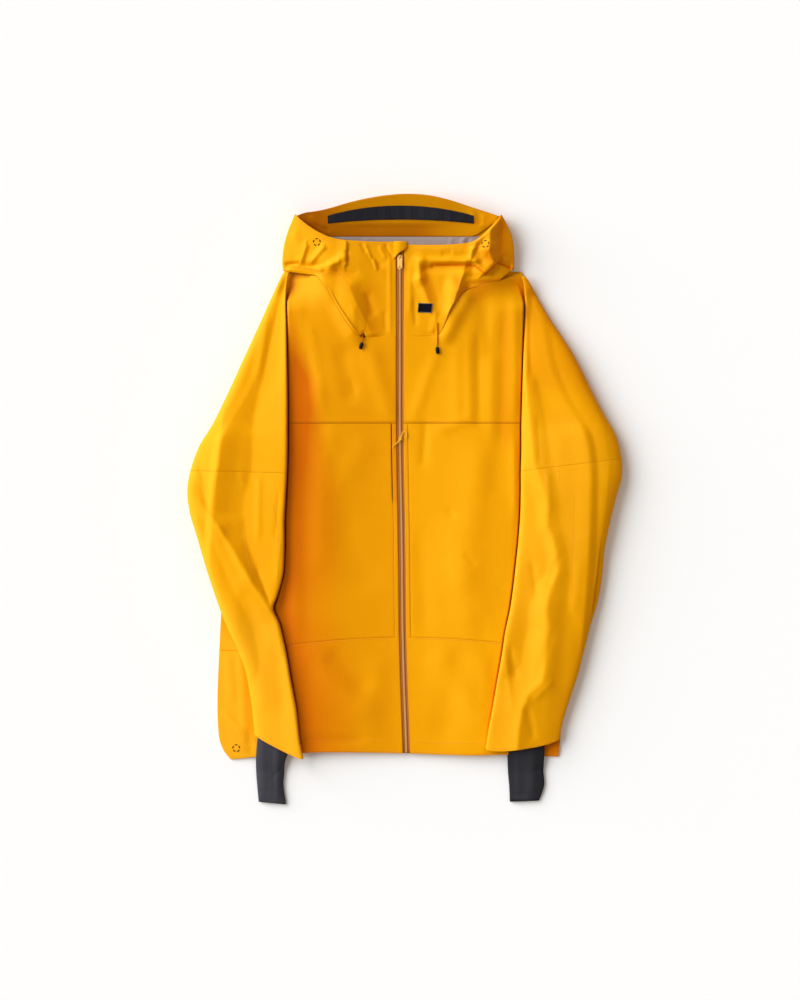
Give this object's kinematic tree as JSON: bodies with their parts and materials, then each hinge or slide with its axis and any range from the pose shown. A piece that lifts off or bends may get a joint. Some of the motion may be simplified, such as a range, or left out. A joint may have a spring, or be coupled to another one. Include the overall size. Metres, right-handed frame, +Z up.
{
  "type": "hooded shell jacket",
  "caption": "Hooded waterproof shell jacket lying flat on its back with the front up, sleeves down beside the body and wrist gaiters out of the cuffs.",
  "frame": {"origin": "middle of the jacket's outline on the surface that it lies on, free cords and their toggles left out", "axes": "+X towards the picture's right, which is the wearer's left side, +Y from the hem to the hood, +Z up from the surface and out of the jacket's front"},
  "size_m": [0.6956, 0.9762, 0.0468],
  "materials": {
    "shell": "matt laminated woven shell",
    "charcoal": "matt stretch knit",
    "lining": "smooth mesh-backed lining",
    "tape": "woven zip tape",
    "coil": "moulded coil",
    "hard_pull": "satin painted slider and moulded pull",
    "toggle": "moulded barrel",
    "cord": "braided elastic cord",
    "label": "bare woven patch"
  },
  "bodies": {
    "jacket": {"back": "shell", "front_lower_left": "shell", "front_lower_right": "shell", "front_middle_left": "shell", "front_middle_right": "shell", "front_upper_left": "shell", "front_upper_right": "shell", "placket_left": "shell", "placket_right": "shell", "sleeve_upper_left": "shell", "sleeve_upper_right": "shell", "sleeve_lower_left": "shell", "sleeve_lower_right": "shell", "gaiter_left": "charcoal", "gaiter_right": "charcoal", "hood_side_left": "shell", "hood_side_right": "shell", "chin_guard": "shell", "hood_crown": "shell", "hood_fold": "shell", "brim_facing": "shell", "hood_lining": "lining", "brim_band": "charcoal", "zip_tape_left": "tape", "zip_tape_right": "tape", "zip_chain": "coil", "slider": "hard_pull", "cord_left": "cord", "cord_right": "cord", "toggle_left": "toggle", "toggle_right": "toggle", "pocket_cord": "cord", "label_patch": "label"},
    "pull_tab": {"pull_tab": "hard_pull"}
  },
  "joints": [
    {"name": "tab_hinge", "type": "hinge", "parent": "jacket", "child": "pull_tab", "pos_m": [-0.0072, 0.388, 0.03969], "axis": [-1, 0, 0], "range_deg": [0, 75]}
  ]
}
